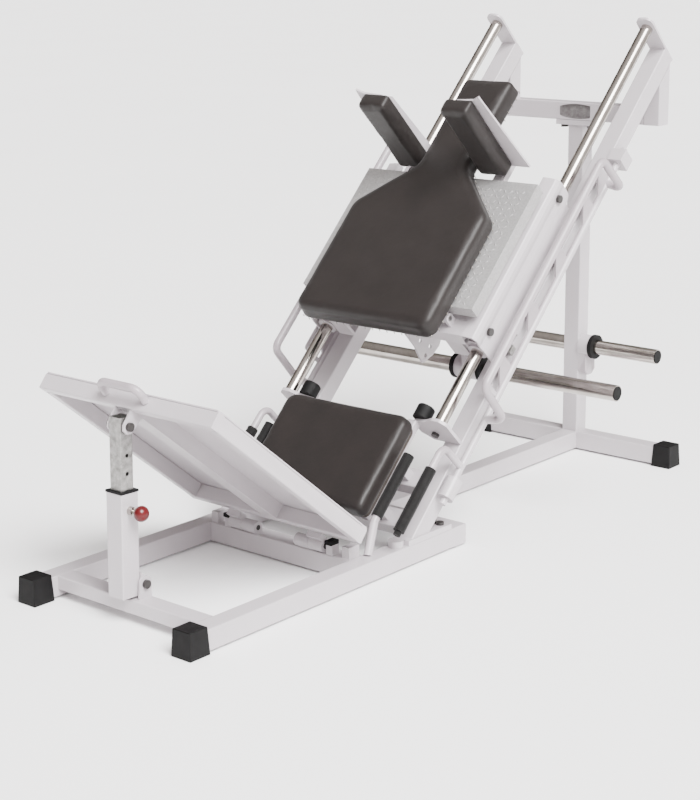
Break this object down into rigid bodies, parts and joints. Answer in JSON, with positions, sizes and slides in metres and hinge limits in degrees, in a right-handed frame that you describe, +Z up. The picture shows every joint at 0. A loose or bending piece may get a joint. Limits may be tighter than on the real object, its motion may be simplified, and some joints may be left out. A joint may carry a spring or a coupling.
{
  "type": "leg press machine",
  "caption": "Plate-loaded leg press with a sled on inclined rods, padded press plate, seat, tilting foot platform and swinging safety racks",
  "frame": {"origin": "middle of the footprint, on the floor", "axes": "+X to the right seen from the front, +Y from the foot platform to the upright, +Z up"},
  "size_m": [1.11, 2.2729, 1.4988],
  "materials": {
    "white_paint": "satin powder coat",
    "rubber": "matt moulded rubber",
    "foam": "matt foam grip",
    "chrome": "polished",
    "black_steel": "black oxide",
    "raw_steel": "plain",
    "tread": "diamond tread",
    "vinyl": "grained, semi matt",
    "board": "black-stained ply",
    "badge": "satin",
    "red_plastic": "gloss"
  },
  "bodies": {
    "frame": {"badge": "badge", "centre_rail": "white_paint", "flange_plates": "white_paint", "foot_caps": "rubber", "frame_bolts": "black_steel", "frame_lugs": "white_paint", "front_cross_rail": "white_paint", "guide_rods": "chrome", "middle_cross_rail": "white_paint", "platform_hinge_pins": "black_steel", "rack_bearings": "white_paint", "rail_channels": "white_paint", "rear_beam": "white_paint", "rear_cross_rail": "white_paint", "rod_end_plates": "white_paint", "rubber_stops": "rubber", "seat_board": "board", "seat_frame": "white_paint", "seat_pad": "vinyl", "side_grips": "foam", "side_handles": "white_paint", "side_rails": "white_paint", "storage_collars": "rubber", "storage_horns": "chrome", "storage_hub": "white_paint", "top_frame": "white_paint", "upright": "white_paint"},
    "sled": {"sled_sides": "white_paint", "sled_bearings": "white_paint", "sled_cross_members": "white_paint", "plate_rests": "rubber", "plate_hinge_pin": "raw_steel", "horn_bracket": "white_paint", "weight_horns": "chrome", "horn_collars": "rubber", "index_sector": "white_paint", "sled_bolts": "black_steel", "rack_lugs": "raw_steel"},
    "press_plate": {"tread_plate": "tread", "plate_hinge_barrel": "white_paint", "back_board": "board", "back_pad": "vinyl", "shoulder_pads": "vinyl", "shoulder_brackets": "white_paint"},
    "platform": {"platform_frame": "white_paint", "platform_plate": "white_paint", "platform_handle": "white_paint", "prop_upper_bolt": "black_steel"},
    "prop": {"prop_sleeve": "white_paint", "prop_bushing": "rubber", "plunger_housing": "chrome"},
    "prop_tube": {"prop_inner_tube": "raw_steel"},
    "pull_pin": {"pull_pin": "chrome", "pull_knob": "red_plastic"},
    "rack_left": {"rack_left_plate": "white_paint", "rack_left_bars": "white_paint", "rack_left_grip": "foam"},
    "rack_right": {"rack_right_plate": "white_paint", "rack_right_bars": "white_paint", "rack_right_grip": "foam"}
  },
  "joints": [
    {"name": "sled_slide", "type": "slide", "parent": "frame", "child": "sled", "axis": [0, 0.7071, 0.7071], "range_m": [-0.209, 0.68]},
    {"name": "press_plate_tilt", "type": "hinge", "parent": "sled", "child": "press_plate", "pos_m": [0, 0.05089, 0.67006], "axis": [1, 0, 0], "range_deg": [0, 80]},
    {"name": "platform_tilt", "type": "hinge", "parent": "frame", "child": "platform", "pos_m": [0, -0.453, 0.088], "axis": [1, 0, 0], "range_deg": [-10, 5]},
    {"name": "prop_swing", "type": "hinge", "parent": "frame", "child": "prop", "pos_m": [0, -1.014, 0.105], "axis": [1, 0, 0], "range_deg": [-9.52, 4.76]},
    {"name": "prop_extend", "type": "slide", "parent": "prop", "child": "prop_tube", "axis": [0, 0.029, 0.9996], "range_m": [-0.0491, 0.09809]},
    {"name": "pin_pull", "type": "slide", "parent": "prop", "child": "pull_pin", "axis": [1, 0, 0], "range_m": [-0.007, 0.008]},
    {"name": "rack_left_swing", "type": "hinge", "parent": "frame", "child": "rack_left", "pos_m": [-0.35, 0.29484, 0.58875], "axis": [0, -0.7071, -0.7071], "range_deg": [-6, 20]},
    {"name": "rack_right_swing", "type": "hinge", "parent": "frame", "child": "rack_right", "pos_m": [0.35, 0.29484, 0.58875], "axis": [0, 0.7071, 0.7071], "range_deg": [-6, 20]}
  ],
  "couplings": [
    {"joint": "prop_swing", "follows": "platform_tilt", "ratio": 0.951},
    {"joint": "prop_extend", "follows": "platform_tilt", "m_per_rad": -0.56146}
  ]
}
